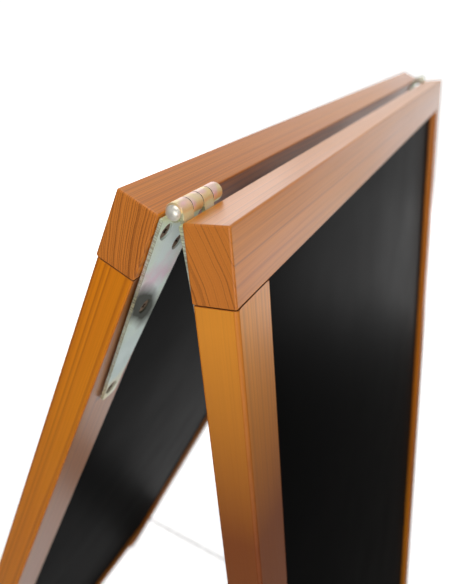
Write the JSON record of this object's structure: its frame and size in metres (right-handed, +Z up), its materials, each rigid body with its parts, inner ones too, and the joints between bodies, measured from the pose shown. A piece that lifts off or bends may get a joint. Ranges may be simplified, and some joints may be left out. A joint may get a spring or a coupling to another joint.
{
  "type": "sandwich board",
  "caption": "Folding A-frame sandwich board: timber frames holding black writing panels, joined along the top by strap hinges and held open by chains.",
  "frame": {"origin": "on the floor under the middle of the board, midway between the left and right sides and between the front and back feet", "axes": "+X along the hinge axis towards the board's right side as seen from the front, +Y towards the back frame, +Z up"},
  "size_m": [0.6, 0.6786, 1.1609],
  "materials": {
    "lacquered_pine": "amber lacquer, satin",
    "beech_dowel": "bare, smooth",
    "black_panel": "smooth satin black writing surface",
    "yellow_zinc": "yellow passivated zinc with green and pink iridescence",
    "bright_steel": "bright zinc plate"
  },
  "bodies": {
    "front_frame": {"front_left_lower_dowel": "beech_dowel", "front_left_screw_eye": "bright_steel", "front_left_stile": "lacquered_pine", "front_left_top_dowel": "beech_dowel", "front_lower_rail": "lacquered_pine", "front_panel": "black_panel", "front_right_lower_dowel": "beech_dowel", "front_right_screw_eye": "bright_steel", "front_right_stile": "lacquered_pine", "front_right_top_dowel": "beech_dowel", "front_top_rail": "lacquered_pine", "left_hinge_front_leaf": "yellow_zinc", "left_hinge_front_screw_1": "yellow_zinc", "left_hinge_front_screw_2": "yellow_zinc", "left_hinge_front_screw_3": "yellow_zinc", "left_hinge_front_screw_4": "yellow_zinc", "left_hinge_pin": "bright_steel", "left_limit_chain": "bright_steel", "right_hinge_front_leaf": "yellow_zinc", "right_hinge_front_screw_1": "yellow_zinc", "right_hinge_front_screw_2": "yellow_zinc", "right_hinge_front_screw_3": "yellow_zinc", "right_hinge_front_screw_4": "yellow_zinc", "right_hinge_pin": "bright_steel", "right_limit_chain": "bright_steel"},
    "back_frame": {"back_left_lower_dowel": "beech_dowel", "back_left_screw_eye": "bright_steel", "back_left_stile": "lacquered_pine", "back_left_top_dowel": "beech_dowel", "back_lower_rail": "lacquered_pine", "back_panel": "black_panel", "back_right_lower_dowel": "beech_dowel", "back_right_screw_eye": "bright_steel", "back_right_stile": "lacquered_pine", "back_right_top_dowel": "beech_dowel", "back_top_rail": "lacquered_pine", "left_hinge_back_leaf": "yellow_zinc", "left_hinge_back_screw_1": "yellow_zinc", "left_hinge_back_screw_2": "yellow_zinc", "left_hinge_back_screw_3": "yellow_zinc", "left_hinge_back_screw_4": "yellow_zinc", "right_hinge_back_leaf": "yellow_zinc", "right_hinge_back_screw_1": "yellow_zinc", "right_hinge_back_screw_2": "yellow_zinc", "right_hinge_back_screw_3": "yellow_zinc", "right_hinge_back_screw_4": "yellow_zinc"}
  },
  "joints": [
    {"name": "fold", "type": "hinge", "parent": "front_frame", "child": "back_frame", "pos_m": [0, 0, 1.15704], "axis": [1, 0, 0], "range_deg": [-30.5, 0], "deforming": ["left_limit_chain", "right_limit_chain"]}
  ]
}
